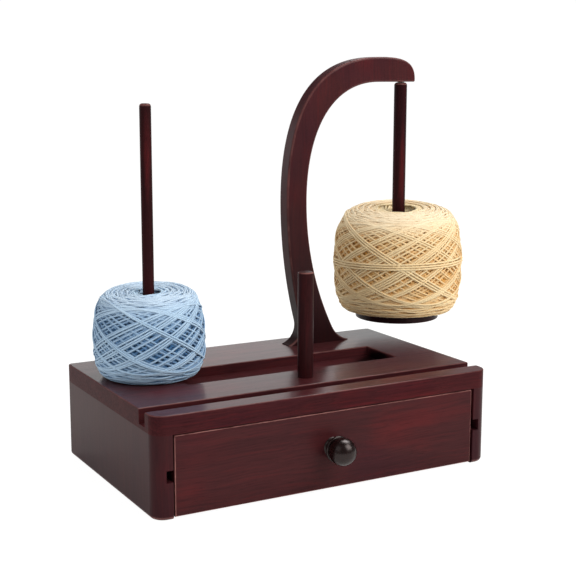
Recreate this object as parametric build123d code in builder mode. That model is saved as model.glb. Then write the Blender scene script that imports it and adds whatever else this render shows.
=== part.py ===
"""Yarn dispenser box: a small cabinet with a drawer, a spindle, a rest post and a curved arm
from which a loaded yarn rod hangs and turns under a magnet.

Millimetres. X runs along the front, to the right; Y runs to the back; Z is up.
The origin is the middle of the cabinet's lower back edge, on the surface it stands on.
"""
from build123d import *
from math import sqrt
import os

# ---------------------------------------------------------------- cabinet
box_width = 305.0
box_depth = 189.0
box_height = 80.5
board = 15.0                # top board, sides, drawer front and arm are cut from this stock
back_board = 12.0
front_corner_radius = 11.0  # upright front corners
rear_corner_radius = 3.5    # upright rear corners, and the rear corners of the base
edge_round = 1.0            # broken edges of the boards

groove_width = 11.6         # open slot along the top, near the front
groove_depth = 11.8
groove_rail = 17.4          # wood left in front of the groove
trough_width = 47.0         # shallow tray in the middle of the top
trough_depth = 8.5
trough_y = -90.3            # its middle line
trough_spindle_gap = 14.4   # from the spindle's axis to the tray's left end
trough_end_margin = 43.5    # from the tray's right end to the cabinet's side

dado_base = 29.0            # slots in the sides that carry the drawer's runners
dado_height = 9.5
dado_depth = 5.5

# ---------------------------------------------------------------- spindle and post
spindle_diameter = 9.5
spindle_length = 222.0      # above the board
spindle_inset = 47.1        # from the cabinet's left side
spindle_y = -69.5
spindle_tip_round = 2.5
spindle_tenon = 7.5         # turned down at the foot, where it is glued into the board
post_diameter = 13.0
post_length = 87.5          # above the board
post_x = 4.0
post_tip_chamfer = 1.0
post_tenon = 10.0
tenon_depth = 11.0          # both tenons are this deep in the top board
glue_gap = 0.05             # on the radius of every glued tenon and dowel

# ---------------------------------------------------------------- arm
pendulum_overhang = 15.8    # hanging axis beyond the cabinet's right side
arm_y = -26.5               # middle plane of the arm
arm_reach = 124.2           # from the outer belly to the hanging axis
arm_leg_width = 20.4        # at the belly
belly_rise = 131.5          # belly above the board
underside_rise = 237.5      # flat underside above the board
crown_thickness = 22.6
crown_from = 27.0           # the crown is flat between these distances from the axis
crown_to = 23.0
underside_from = 28.3       # the underside is flat from here to the tip
tip_reach = 11.6            # from the axis to the tip
tip_face = 2.5              # upright face left at the tip
outer_fullness = 0.67       # handle lengths of the curves, as a share of each side
inner_fullness = 0.632
tip_fullness = 0.71
leg_outer_radius = 440.0
leg_inner_radius = 262.0
cove_outer_radius = 17.0    # hollows that flare the foot
cove_inner_radius = 25.0
toe_thickness = 0.6
arm_edge_round = 2.0
pick_slack = 0.5            # either side of a height, when edges are picked by it

magnet_diameter = 8.0
magnet_thickness = 3.0
magnet_glue = 0.1

# ---------------------------------------------------------------- hanging rod
rod_diameter = 12.0
pin_diameter = 6.4
pin_depth = 18.0            # in the rod
pin_proud = 0.5             # above the rod
pin_dome = 0.3
pin_running_fit = 0.05      # on the radius
pin_land = 0.1              # flat left between the rod's rounded top and the pin's hole
hang_gap = 0.1              # from the pin's tip to the magnet
saucer_diameter = 78.6
saucer_thickness = 8.8
saucer_rise = 15.6          # under the saucer
saucer_seat = 4.0           # the rod sits this deep in the saucer
saucer_edge = 0.6

# ---------------------------------------------------------------- yarn cakes
soft_gap = 0.3              # between a cake and what it rests on
cake_base_fullness = 0.65   # handle length of the curve at the foot of both cakes
blue_radius = 46.0
blue_height = 72.7
blue_belly = 29.5           # height of the widest part
blue_base_inset = 14.3      # rounding at the foot and at the top, measured inwards
blue_top_inset = 14.4
blue_top_fullness = 0.62
blue_core_radius = 7.0
blue_mouth_radius = 12.0
blue_mouth_depth = 8.0
blue_mouth_fullness = 0.62
cream_radius = 61.2
cream_height = 98.5
cream_belly = 43.0
cream_base_inset = 12.9
cream_top_inset = 30.0
cream_top_fullness = 0.76
cream_core_radius = 10.0
cream_mouth_radius = 18.0
cream_mouth_depth = 14.0
cream_mouth_fullness = 0.4

# ---------------------------------------------------------------- drawer
drawer_side_gap = 1.5
drawer_top_gap = 1.0
drawer_floor_gap = 1.6      # under the drawer front
drawer_recess = 1.0         # the drawer front stands this far inside the cabinet's face
drawer_stop_gap = 0.5       # left between the closed drawer and the back
drawer_board = 10.0         # sides and back of the drawer
drawer_wall_drop = 6.0      # the walls are this much lower than the front
drawer_floor_board = 4.0
drawer_floor_rise = 4.0     # floor panel above the walls' lower edge
drawer_floor_slot = 5.0     # depth of the slots that hold the floor panel
slot_fit = 0.1
runner_drop = 0.2           # between the runner and the slot it rides on
runner_headroom = 0.4
runner_side_gap = 0.5
runner_setback = 30.0       # the runners start this far behind the drawer front

knob_rise = 35.5            # centre of the knob above the base
knob_foot_radius = 8.0
knob_neck_radius = 6.6
knob_neck_reach = 3.0       # distances from the drawer face
knob_flare_radius = 9.6
knob_flare_reach = 6.4
knob_ring_radius = 10.8     # rounded ring between the neck and the ball
knob_ring_reach = 7.5
knob_groove_reach = 8.9     # where the ball grows out of the ring
knob_ball_radius = 11.0
knob_ball_reach = 15.1      # centre of the ball

# ---------------------------------------------------------------- screws and dowels
screw_fit = 0.05            # on the radius of a screw's hole
countersink_angle = 90
screw_end_bevel = 0.25      # bevel at a machine screw's end, as a share of its radius
dowel_bevel = 0.2           # bevel at a dowel's ends, as a share of its radius
cross_width = 0.9           # cross recess in every screw head
cross_depth = 1.0
arm_screw_radius = 2.25
arm_screw_head = 4.5
arm_screw_length = 40.0
arm_screw_spacing = 17.0
saucer_screw_radius = 2.0
saucer_screw_head = 4.0
saucer_screw_length = 25.0
runner_screw_radius = 1.5
runner_screw_head = 3.0
runner_screw_length = 14.0
runner_screw_margin = 14.0  # from each end of a runner
runner_screw_count = 3
knob_screw_radius = 2.0
knob_screw_head = 4.0
knob_screw_head_height = 2.6
knob_screw_bite = 13.0      # in the knob

case_dowel_radius = 4.0
case_dowel_in_top = 9.0
case_dowel_in_side = 21.0
case_dowel_count = 3
case_dowel_pitch = 55.0
case_dowel_y = -79.5        # the middle dowel
back_dowel_radius = 3.0
back_dowel_in_side = 9.0
back_dowel_in_back = 15.0
back_dowel_low = 18.0       # heights of the two at each side
back_dowel_high = 48.5
drawer_dowel_radius = 2.5
drawer_dowel_in_front = 9.0
drawer_dowel_in_wall = 15.0
drawer_dowel_in_side = 7.0
drawer_dowel_margin = 13.0  # from the walls' upper edge, and from the floor panel

# ---------------------------------------------------------------- places worked out from the sizes
half_width = box_width / 2
front_y = -box_depth
back_y = 0.0
under_top = box_height - board
opening_half = half_width - board
back_face_y = back_y - back_board

spindle_x = -half_width + spindle_inset
groove_y = front_y + groove_rail + groove_width / 2
trough_left = spindle_x + trough_spindle_gap
trough_right = half_width - trough_end_margin
trough_x = (trough_left + trough_right) / 2
trough_length = trough_right - trough_left
post_y = (groove_y + groove_width / 2 + trough_y - trough_width / 2) / 2

pendulum_x = half_width + pendulum_overhang
underside = box_height + underside_rise
crown = underside + crown_thickness
belly_z = box_height + belly_rise
belly_outer_x = pendulum_x - arm_reach
belly_inner_x = belly_outer_x + arm_leg_width
tip_x = pendulum_x + tip_reach

pin_top = underside - hang_gap
rod_top = pin_top - pin_proud
saucer_bottom = box_height + saucer_rise
saucer_top = saucer_bottom + saucer_thickness
rod_bottom = saucer_top - saucer_seat

drawer_half = opening_half - drawer_side_gap
drawer_face_y = front_y + drawer_recess
drawer_front_back_y = drawer_face_y + board
drawer_end_y = back_face_y - drawer_stop_gap
drawer_base = drawer_floor_gap
drawer_top = under_top - drawer_top_gap
drawer_wall_top = drawer_top - drawer_wall_drop
drawer_wall_length = drawer_end_y - drawer_front_back_y
drawer_inner_half = drawer_half - drawer_board
drawer_floor = drawer_base + drawer_floor_rise
drawer_floor_top = drawer_floor + drawer_floor_board
drawer_slot_reach = drawer_inner_half + drawer_floor_slot
drawer_back_y = drawer_end_y - drawer_board / 2

runner_base = dado_base + runner_drop
runner_height = dado_height - runner_drop - runner_headroom
runner_width = drawer_side_gap + dado_depth - runner_side_gap
runner_start_y = drawer_front_back_y + runner_setback
runner_length = drawer_end_y - runner_start_y
runner_middle_z = runner_base + runner_height / 2

os.makedirs("parts", exist_ok=True)


def save(part, name):
    """Label a finished piece and write it under its own name."""
    part.label = name
    export_step(part, f"parts/{name}.step")


# ---------------------------------------------------------------- shared hardware
def turned_screw(outline, head_top, cross_span):
    """Turn a screw from half its outline (radius, height) and cut the driver's cross in its head."""
    with BuildPart() as screw:
        with BuildSketch(Plane.XZ):
            with BuildLine():
                Polyline(*outline, close=True)
            make_face()
        revolve(axis=Axis.Z)
        with BuildSketch(Plane.XY.offset(head_top)):
            Rectangle(cross_span, cross_width)
            Rectangle(cross_width, cross_span)
        extrude(amount=-cross_depth, mode=Mode.SUBTRACT)
    return screw.part


def countersunk_screw(radius, head_radius, length):
    """A pointed wood screw: its flat head is at the origin and it runs down -Z."""
    outline = [
        (0, 0),
        (head_radius, 0),
        (radius, radius - head_radius),
        (radius, 2 * radius - length),
        (0, -length),
    ]
    return turned_screw(outline, 0, head_radius)


def pan_head_screw(radius, head_radius, head_height, length):
    """A machine screw: the underside of its head is at the origin and it runs down -Z."""
    bevel = head_height / 2
    outline = [
        (0, head_height),
        (head_radius - bevel, head_height),
        (head_radius, head_height - bevel),
        (head_radius, 0),
        (radius, 0),
        (radius, screw_end_bevel * radius - length),
        (radius - screw_end_bevel * radius, -length),
        (0, -length),
    ]
    return turned_screw(outline, head_height, head_radius)


def dowel(radius, length):
    """A chamfered dowel, centred on the origin along Z."""
    with BuildPart() as pin:
        Cylinder(radius, length)
        chamfer(pin.edges().filter_by(GeomType.CIRCLE), dowel_bevel * radius)
    return pin.part


# ---------------------------------------------------------------- top board
arm_screw_tip_z = box_height + arm_screw_length - board


def leg_outer_x(z):
    """The arm's outer edge at a height below the belly."""
    return belly_outer_x + leg_outer_radius - sqrt(leg_outer_radius**2 - (belly_z - z) ** 2)


def leg_inner_x(z):
    """The arm's inner edge at a height below the belly."""
    return belly_inner_x + leg_inner_radius - sqrt(leg_inner_radius**2 - (belly_z - z) ** 2)


arm_screw_x = (leg_outer_x(arm_screw_tip_z) + leg_inner_x(arm_screw_tip_z)) / 2
arm_screw_places = [
    (arm_screw_x - arm_screw_spacing / 2, arm_y),
    (arm_screw_x + arm_screw_spacing / 2, arm_y),
]
case_dowel_places = [
    (side * (half_width - board / 2), case_dowel_y + (i - (case_dowel_count - 1) / 2) * case_dowel_pitch)
    for side in (-1, 1)
    for i in range(case_dowel_count)
]

with BuildPart() as top_board:
    with BuildSketch(Plane.XY.offset(under_top)) as top_outline:
        with Locations((0, (front_y + back_y) / 2)):
            Rectangle(box_width, box_depth)
        fillet(top_outline.vertices().group_by(Axis.Y)[0], front_corner_radius)
        fillet(top_outline.vertices().group_by(Axis.Y)[-1], rear_corner_radius)
    extrude(amount=board)
    with BuildSketch(Plane.XY.offset(box_height)):
        with Locations((0, groove_y)):
            Rectangle(box_width, groove_width)
    extrude(amount=-groove_depth, mode=Mode.SUBTRACT)
    with BuildSketch(Plane.XY.offset(box_height)):
        with Locations((trough_x, trough_y)):
            RectangleRounded(trough_length, trough_width, edge_round)
    extrude(amount=-trough_depth, mode=Mode.SUBTRACT)
    fillet(top_board.edges().group_by(Axis.Z)[-1], edge_round)
    with Locations((spindle_x, spindle_y, box_height)):
        Hole(spindle_tenon / 2 + glue_gap, tenon_depth)
    with Locations((post_x, post_y, box_height)):
        Hole(post_tenon / 2 + glue_gap, tenon_depth)
    for x, y in arm_screw_places:
        with Locations(Plane(origin=(x, y, under_top), z_dir=(0, 0, -1))):
            CounterSinkHole(arm_screw_radius + screw_fit, arm_screw_head, board, countersink_angle)
    for x, y in case_dowel_places:
        with Locations(Plane(origin=(x, y, under_top), z_dir=(0, 0, -1))):
            Hole(case_dowel_radius + glue_gap, case_dowel_in_top)
save(top_board.part, "top_board")

# ---------------------------------------------------------------- sides and back
with BuildPart() as left_side:
    with BuildSketch(Plane.XY) as side_outline:
        with Locations((-half_width + board / 2, (front_y + back_y) / 2)):
            Rectangle(board, box_depth)
        fillet(side_outline.vertices().group_by(Axis.X)[0].sort_by(Axis.Y)[0], front_corner_radius)
        fillet(side_outline.vertices().group_by(Axis.Y)[-1].sort_by(Axis.X)[0], rear_corner_radius)
    extrude(amount=under_top)
    rear_foot = left_side.faces().sort_by(Axis.Z)[0].edges().filter_by(Axis.X).sort_by(Axis.Y)[-1]
    fillet(rear_foot, rear_corner_radius)
    with BuildSketch(Plane.YZ.offset(-opening_half)):
        with Locations(((front_y + back_face_y) / 2, dado_base + dado_height / 2)):
            Rectangle(back_face_y - front_y, dado_height)
    extrude(amount=-dado_depth, mode=Mode.SUBTRACT)
    for x, y in case_dowel_places:
        if x < 0:
            with Locations((x, y, under_top)):
                Hole(case_dowel_radius + glue_gap, case_dowel_in_side)
    for z in (back_dowel_low, back_dowel_high):
        with Locations(Plane(origin=(-opening_half, back_y - back_board / 2, z), z_dir=(1, 0, 0))):
            Hole(back_dowel_radius + glue_gap, back_dowel_in_side)
save(left_side.part, "left_side")

with BuildPart() as right_side:
    mirror(left_side.part, about=Plane.YZ)
save(right_side.part, "right_side")

with BuildPart() as back_panel:
    with BuildSketch(Plane.XY):
        with Locations((0, back_y - back_board / 2)):
            Rectangle(2 * opening_half, back_board)
    extrude(amount=under_top)
    for side in (-1, 1):
        for z in (back_dowel_low, back_dowel_high):
            end = (side * opening_half, back_y - back_board / 2, z)
            with Locations(Plane(origin=end, z_dir=(side, 0, 0))):
                Hole(back_dowel_radius + glue_gap, back_dowel_in_back)
save(back_panel.part, "back_panel")

case_dowel = dowel(case_dowel_radius, case_dowel_in_top + case_dowel_in_side)
with BuildPart() as case_dowels:
    for x, y in case_dowel_places:
        with Locations((x, y, under_top + (case_dowel_in_top - case_dowel_in_side) / 2)):
            add(case_dowel)
save(case_dowels.part, "case_dowels")

back_dowel = dowel(back_dowel_radius, back_dowel_in_side + back_dowel_in_back)
with BuildPart() as back_dowels:
    for side in (-1, 1):
        for z in (back_dowel_low, back_dowel_high):
            x = side * (opening_half + (back_dowel_in_side - back_dowel_in_back) / 2)
            with Locations(Plane(origin=(x, back_y - back_board / 2, z), z_dir=(1, 0, 0))):
                add(back_dowel)
save(back_dowels.part, "back_dowels")

# ---------------------------------------------------------------- spindle and rest post
def tenoned_rod(diameter, length, tenon):
    """A rod standing on Z = 0, with a thinner tenon below it."""
    with BuildPart() as rod:
        with BuildSketch(Plane.XY):
            Circle(diameter / 2)
        extrude(amount=length)
        with BuildSketch(Plane.XY):
            Circle(tenon / 2)
        extrude(amount=-tenon_depth)
    return rod.part


with BuildPart() as spindle:
    with Locations((spindle_x, spindle_y, box_height)):
        add(tenoned_rod(spindle_diameter, spindle_length, spindle_tenon))
    fillet(spindle.edges().group_by(Axis.Z)[-1], spindle_tip_round)
save(spindle.part, "spindle")

with BuildPart() as rest_post:
    with Locations((post_x, post_y, box_height)):
        add(tenoned_rod(post_diameter, post_length, post_tenon))
    chamfer(rest_post.edges().group_by(Axis.Z)[-1], post_tip_chamfer)
save(rest_post.part, "rest_post")

# ---------------------------------------------------------------- arm
# The outer edge bulges and the inner edge is hollow; each meets a smaller hollow at the foot.
outer_centre_x = belly_outer_x + leg_outer_radius
inner_centre_x = belly_inner_x + leg_inner_radius
cove_outer_drop = belly_rise - cove_outer_radius
cove_inner_drop = belly_rise - cove_inner_radius
outer_sum = leg_outer_radius + cove_outer_radius
inner_difference = leg_inner_radius - cove_inner_radius
cove_outer_x = outer_centre_x - sqrt(outer_sum**2 - cove_outer_drop**2)
cove_inner_x = inner_centre_x - sqrt(inner_difference**2 - cove_inner_drop**2)
outer_tangent = (
    outer_centre_x - leg_outer_radius * (outer_centre_x - cove_outer_x) / outer_sum,
    belly_z - leg_outer_radius * cove_outer_drop / outer_sum,
)
inner_tangent = (
    inner_centre_x - leg_inner_radius * (inner_centre_x - cove_inner_x) / inner_difference,
    belly_z - leg_inner_radius * cove_inner_drop / inner_difference,
)
toe_outer_x = cove_outer_x + sqrt(cove_outer_radius**2 - (cove_outer_radius - toe_thickness) ** 2)
toe_inner_x = cove_inner_x - sqrt(cove_inner_radius**2 - (cove_inner_radius - toe_thickness) ** 2)
toe_top = box_height + toe_thickness
foot_bottom = box_height - 2 * arm_edge_round   # sawn off level with the board after rounding


def quarter(start, corner, end, fullness):
    """A curve from start to end, leaving and arriving along the sides of a corner."""
    handles = [
        (point[0] + fullness * (corner[0] - point[0]), point[1] + fullness * (corner[1] - point[1]))
        for point in (start, end)
    ]
    return Bezier(start, handles[0], handles[1], end)


with BuildPart() as arm:
    with BuildSketch(Plane.XZ.offset(-arm_y)):
        with BuildLine():
            belly_outer = (belly_outer_x, belly_z)
            belly_inner = (belly_inner_x, belly_z)
            crown_start = (pendulum_x - crown_from, crown)
            crown_end = (pendulum_x - crown_to, crown)
            tip_top = (tip_x, underside + tip_face)
            tip_bottom = (tip_x, underside)
            inner_start = (pendulum_x - underside_from, underside)
            Line((toe_outer_x, foot_bottom), (toe_outer_x, toe_top))
            RadiusArc((toe_outer_x, toe_top), outer_tangent, -cove_outer_radius)
            RadiusArc(outer_tangent, belly_outer, leg_outer_radius)
            quarter(belly_outer, (belly_outer_x, crown), crown_start, outer_fullness)
            Line(crown_start, crown_end)
            quarter(crown_end, (tip_x, crown), tip_top, tip_fullness)
            Line(tip_top, tip_bottom)
            Line(tip_bottom, inner_start)
            quarter(inner_start, (belly_inner_x, underside), belly_inner, inner_fullness)
            RadiusArc(belly_inner, inner_tangent, -leg_inner_radius)
            RadiusArc(inner_tangent, (toe_inner_x, toe_top), -cove_inner_radius)
            Line((toe_inner_x, toe_top), (toe_inner_x, foot_bottom))
            Line((toe_inner_x, foot_bottom), (toe_outer_x, foot_bottom))
        make_face()
    extrude(amount=board / 2, both=True)
    tip_edges = arm.edges().filter_by(Axis.Y).filter_by_position(
        Axis.Z, underside - pick_slack, underside + pick_slack
    )
    fillet(tip_edges.sort_by(Axis.X)[-1], tip_face / 2)
    faces = arm.faces().filter_by(Axis.Y)
    long_edges = faces.edges().filter_by_position(Axis.Z, foot_bottom + pick_slack, crown + pick_slack)
    fillet(long_edges, arm_edge_round)
    split(bisect_by=Plane.XY.offset(box_height), keep=Keep.TOP)
    for x, y in arm_screw_places:
        with Locations(Plane(origin=(x, y, box_height), z_dir=(0, 0, -1))):
            Hole(arm_screw_radius + screw_fit, arm_screw_length - board)
    with Locations(Plane(origin=(pendulum_x, arm_y, underside), z_dir=(0, 0, -1))):
        Hole(magnet_diameter / 2 + magnet_glue, magnet_thickness + magnet_glue)
save(arm.part, "arm")

arm_screw = countersunk_screw(arm_screw_radius, arm_screw_head, arm_screw_length)
with BuildPart() as arm_screws:
    for x, y in arm_screw_places:
        with Locations(Plane(origin=(x, y, under_top), z_dir=(0, 0, -1))):
            add(arm_screw)
save(arm_screws.part, "arm_screws")

with BuildPart() as arm_magnet:
    with BuildSketch(Plane.XY.offset(underside)):
        with Locations((pendulum_x, arm_y)):
            Circle(magnet_diameter / 2)
    extrude(amount=magnet_thickness)
save(arm_magnet.part, "arm_magnet")

# ---------------------------------------------------------------- hanging rod
with BuildPart() as pivot_pin:
    with BuildSketch(Plane.XY.offset(rod_top - pin_depth)):
        with Locations((pendulum_x, arm_y)):
            Circle(pin_diameter / 2)
    extrude(amount=pin_depth + pin_proud)
    fillet(pivot_pin.edges().group_by(Axis.Z)[-1], pin_dome)
save(pivot_pin.part, "pivot_pin")

with BuildPart() as hanging_rod:
    with BuildSketch(Plane.XY.offset(rod_bottom)):
        with Locations((pendulum_x, arm_y)):
            Circle(rod_diameter / 2)
    extrude(amount=rod_top - rod_bottom)
    with Locations((pendulum_x, arm_y, rod_top)):
        Hole(pin_diameter / 2 + pin_running_fit, pin_depth)
    shoulder = hanging_rod.edges().group_by(Axis.Z)[-1].sort_by(SortBy.RADIUS)[-1]
    fillet(shoulder, rod_diameter / 2 - pin_diameter / 2 - pin_running_fit - pin_land)
    with Locations(Plane(origin=(pendulum_x, arm_y, rod_bottom), z_dir=(0, 0, -1))):
        Hole(saucer_screw_radius + screw_fit, saucer_screw_length - saucer_thickness + saucer_seat)
save(hanging_rod.part, "hanging_rod")

with BuildPart() as saucer:
    with BuildSketch(Plane.XY.offset(saucer_bottom)):
        with Locations((pendulum_x, arm_y)):
            Circle(saucer_diameter / 2)
    extrude(amount=saucer_thickness)
    fillet(saucer.edges(), saucer_edge)
    with Locations((pendulum_x, arm_y, saucer_top)):
        Hole(rod_diameter / 2 + glue_gap, saucer_seat)
    with Locations(Plane(origin=(pendulum_x, arm_y, saucer_bottom), z_dir=(0, 0, -1))):
        CounterSinkHole(
            saucer_screw_radius + screw_fit, saucer_screw_head, saucer_thickness, countersink_angle
        )
save(saucer.part, "saucer")

saucer_screw_shape = countersunk_screw(saucer_screw_radius, saucer_screw_head, saucer_screw_length)
with BuildPart() as saucer_screw:
    with Locations(Plane(origin=(pendulum_x, arm_y, saucer_bottom), z_dir=(0, 0, -1))):
        add(saucer_screw_shape)
save(saucer_screw.part, "saucer_screw")


# ---------------------------------------------------------------- yarn cakes
def yarn_cake(
    radius, height, belly, base_inset, top_inset, top_fullness, core, mouth, mouth_depth, mouth_fullness
):
    """A wound cake standing on Z = 0, with a core hole that opens into a mouth at the top."""
    with BuildPart() as cake:
        with BuildSketch(Plane.XZ):
            with BuildLine():
                Line((core, 0), (radius - base_inset, 0))
                quarter((radius - base_inset, 0), (radius, 0), (radius, belly), cake_base_fullness)
                quarter((radius, belly), (radius, height), (radius - top_inset, height), top_fullness)
                Line((radius - top_inset, height), (mouth, height))
                quarter((mouth, height), (core, height), (core, height - mouth_depth), mouth_fullness)
                Line((core, height - mouth_depth), (core, 0))
            make_face()
        revolve(axis=Axis.Z)
    return cake.part


blue_cake_shape = yarn_cake(
    blue_radius,
    blue_height,
    blue_belly,
    blue_base_inset,
    blue_top_inset,
    blue_top_fullness,
    blue_core_radius,
    blue_mouth_radius,
    blue_mouth_depth,
    blue_mouth_fullness,
)
with BuildPart() as blue_yarn_cake:
    with Locations((spindle_x, spindle_y, box_height + soft_gap)):
        add(blue_cake_shape)
save(blue_yarn_cake.part, "blue_yarn_cake")

cream_cake_shape = yarn_cake(
    cream_radius,
    cream_height,
    cream_belly,
    cream_base_inset,
    cream_top_inset,
    cream_top_fullness,
    cream_core_radius,
    cream_mouth_radius,
    cream_mouth_depth,
    cream_mouth_fullness,
)
with BuildPart() as cream_yarn_cake:
    with Locations((pendulum_x, arm_y, saucer_top + soft_gap)):
        add(cream_cake_shape)
save(cream_yarn_cake.part, "cream_yarn_cake")

# ---------------------------------------------------------------- drawer
front_dowel_heights = (drawer_floor_top + drawer_dowel_margin, drawer_wall_top - drawer_dowel_margin)
runner_screw_pitch = (runner_length - 2 * runner_screw_margin) / (runner_screw_count - 1)
runner_screw_ys = [
    runner_start_y + runner_screw_margin + i * runner_screw_pitch for i in range(runner_screw_count)
]
wall_middle_x = drawer_half - drawer_board / 2

with BuildPart() as drawer_front:
    with BuildSketch(Plane.XZ.offset(-drawer_face_y)):
        with Locations((0, (drawer_base + drawer_top) / 2)):
            Rectangle(2 * drawer_half, drawer_top - drawer_base)
    extrude(amount=-board)
    fillet(drawer_front.faces().sort_by(Axis.Y)[0].edges(), edge_round)
    with BuildSketch(Plane.XZ.offset(-drawer_front_back_y)):
        with Locations((0, (drawer_floor + drawer_floor_top) / 2)):
            Rectangle(2 * drawer_slot_reach, drawer_floor_board + slot_fit)
    extrude(amount=drawer_floor_slot, mode=Mode.SUBTRACT)
    with Locations(Plane(origin=(0, drawer_front_back_y, knob_rise), z_dir=(0, 1, 0))):
        Hole(knob_screw_radius + screw_fit, board)
    for side in (-1, 1):
        for z in front_dowel_heights:
            with Locations(Plane(origin=(side * wall_middle_x, drawer_front_back_y, z), z_dir=(0, 1, 0))):
                Hole(drawer_dowel_radius + glue_gap, drawer_dowel_in_front)
save(drawer_front.part, "drawer_front")

with BuildPart() as drawer_left_side:
    with BuildSketch(Plane.YZ.offset(-drawer_half)):
        with Locations(((drawer_front_back_y + drawer_end_y) / 2, (drawer_base + drawer_wall_top) / 2)):
            Rectangle(drawer_wall_length, drawer_wall_top - drawer_base)
    extrude(amount=drawer_board)
    fillet(drawer_left_side.faces().sort_by(Axis.Z)[-1].edges().filter_by(Axis.Y), edge_round)
    with BuildSketch(Plane.YZ.offset(-drawer_inner_half)):
        with Locations(((drawer_front_back_y + drawer_end_y) / 2, (drawer_floor + drawer_floor_top) / 2)):
            Rectangle(drawer_wall_length, drawer_floor_board + slot_fit)
    extrude(amount=-drawer_floor_slot, mode=Mode.SUBTRACT)
    for z in front_dowel_heights:
        with Locations(Plane(origin=(-wall_middle_x, drawer_front_back_y, z), z_dir=(0, -1, 0))):
            Hole(drawer_dowel_radius + glue_gap, drawer_dowel_in_wall)
        with Locations(Plane(origin=(-drawer_inner_half, drawer_back_y, z), z_dir=(1, 0, 0))):
            Hole(drawer_dowel_radius + glue_gap, drawer_dowel_in_side)
    for y in runner_screw_ys:
        with Locations(Plane(origin=(-drawer_inner_half, y, runner_middle_z), z_dir=(1, 0, 0))):
            CounterSinkHole(
                runner_screw_radius + screw_fit, runner_screw_head, drawer_board, countersink_angle
            )
save(drawer_left_side.part, "drawer_left_side")

with BuildPart() as drawer_right_side:
    mirror(drawer_left_side.part, about=Plane.YZ)
save(drawer_right_side.part, "drawer_right_side")

with BuildPart() as drawer_back:
    with BuildSketch(Plane.XZ.offset(-drawer_back_y)):
        with Locations((0, (drawer_floor_top + drawer_wall_top) / 2)):
            Rectangle(2 * drawer_inner_half, drawer_wall_top - drawer_floor_top - slot_fit)
    extrude(amount=drawer_board / 2, both=True)
    fillet(drawer_back.faces().sort_by(Axis.Z)[-1].edges().filter_by(Axis.X), edge_round)
    for side in (-1, 1):
        for z in front_dowel_heights:
            end = (side * drawer_inner_half, drawer_back_y, z)
            with Locations(Plane(origin=end, z_dir=(side, 0, 0))):
                Hole(drawer_dowel_radius + glue_gap, drawer_dowel_in_wall)
save(drawer_back.part, "drawer_back")

with BuildPart() as drawer_bottom:
    with BuildSketch(Plane.XY.offset(drawer_floor)):
        panel_front_y = drawer_front_back_y - drawer_floor_slot + slot_fit
        with Locations((0, (panel_front_y + drawer_end_y) / 2)):
            Rectangle(2 * (drawer_slot_reach - slot_fit), drawer_end_y - panel_front_y)
    extrude(amount=drawer_floor_board)
save(drawer_bottom.part, "drawer_bottom")

drawer_dowel_front = dowel(drawer_dowel_radius, drawer_dowel_in_front + drawer_dowel_in_wall)
drawer_dowel_back = dowel(drawer_dowel_radius, drawer_dowel_in_side + drawer_dowel_in_wall)
with BuildPart() as drawer_dowels:
    for side in (-1, 1):
        for z in front_dowel_heights:
            y = drawer_front_back_y + (drawer_dowel_in_wall - drawer_dowel_in_front) / 2
            with Locations(Plane(origin=(side * wall_middle_x, y, z), z_dir=(0, 1, 0))):
                add(drawer_dowel_front)
            x = side * (drawer_inner_half + (drawer_dowel_in_side - drawer_dowel_in_wall) / 2)
            with Locations(Plane(origin=(x, drawer_back_y, z), z_dir=(1, 0, 0))):
                add(drawer_dowel_back)
save(drawer_dowels.part, "drawer_dowels")

with BuildPart() as left_runner:
    with BuildSketch(Plane.YZ.offset(-drawer_half)):
        with Locations((runner_start_y + runner_length / 2, runner_middle_z)):
            Rectangle(runner_length, runner_height)
    extrude(amount=-runner_width)
    fillet(left_runner.faces().sort_by(Axis.X)[0].edges(), edge_round)
    for y in runner_screw_ys:
        with Locations(Plane(origin=(-drawer_half, y, runner_middle_z), z_dir=(1, 0, 0))):
            Hole(runner_screw_radius + screw_fit, runner_screw_length - drawer_board)
save(left_runner.part, "left_runner")

with BuildPart() as right_runner:
    mirror(left_runner.part, about=Plane.YZ)
save(right_runner.part, "right_runner")

runner_screw = countersunk_screw(runner_screw_radius, runner_screw_head, runner_screw_length)
with BuildPart() as runner_screws:
    for side in (-1, 1):
        for y in runner_screw_ys:
            head = (side * drawer_inner_half, y, runner_middle_z)
            with Locations(Plane(origin=head, z_dir=(-side, 0, 0))):
                add(runner_screw)
save(runner_screws.part, "runner_screws")

# ---------------------------------------------------------------- knob
# Drawn in its own plane: the first coordinate runs out of the drawer face, the second is a radius.
knob_plane = Plane(origin=(0, drawer_face_y, knob_rise), x_dir=(0, -1, 0), z_dir=(1, 0, 0))
knob_groove_radius = sqrt(knob_ball_radius**2 - (knob_ball_reach - knob_groove_reach) ** 2)
with BuildPart() as knob:
    with BuildSketch(knob_plane):
        with BuildLine():
            foot = (0, knob_foot_radius)
            flare = (knob_flare_reach, knob_flare_radius)
            groove = (knob_groove_reach, knob_groove_radius)
            nose = (knob_ball_reach + knob_ball_radius, 0)
            Line((0, 0), foot)
            ThreePointArc(foot, (knob_neck_reach, knob_neck_radius), flare)
            ThreePointArc(flare, (knob_ring_reach, knob_ring_radius), groove)
            ThreePointArc(groove, (knob_ball_reach, knob_ball_radius), nose)
            Line(nose, (0, 0))
        make_face()
    revolve(axis=Axis((0, drawer_face_y, knob_rise), (0, -1, 0)))
    with Locations(Plane(origin=(0, drawer_face_y, knob_rise), z_dir=(0, 1, 0))):
        Hole(knob_screw_radius + screw_fit, knob_screw_bite)
save(knob.part, "knob")

knob_screw_shape = pan_head_screw(
    knob_screw_radius,
    knob_screw_head,
    knob_screw_head_height,
    board + knob_screw_bite,
)
with BuildPart() as knob_screw:
    with Locations(Plane(origin=(0, drawer_front_back_y, knob_rise), z_dir=(0, 1, 0))):
        add(knob_screw_shape)
save(knob_screw.part, "knob_screw")
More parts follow.
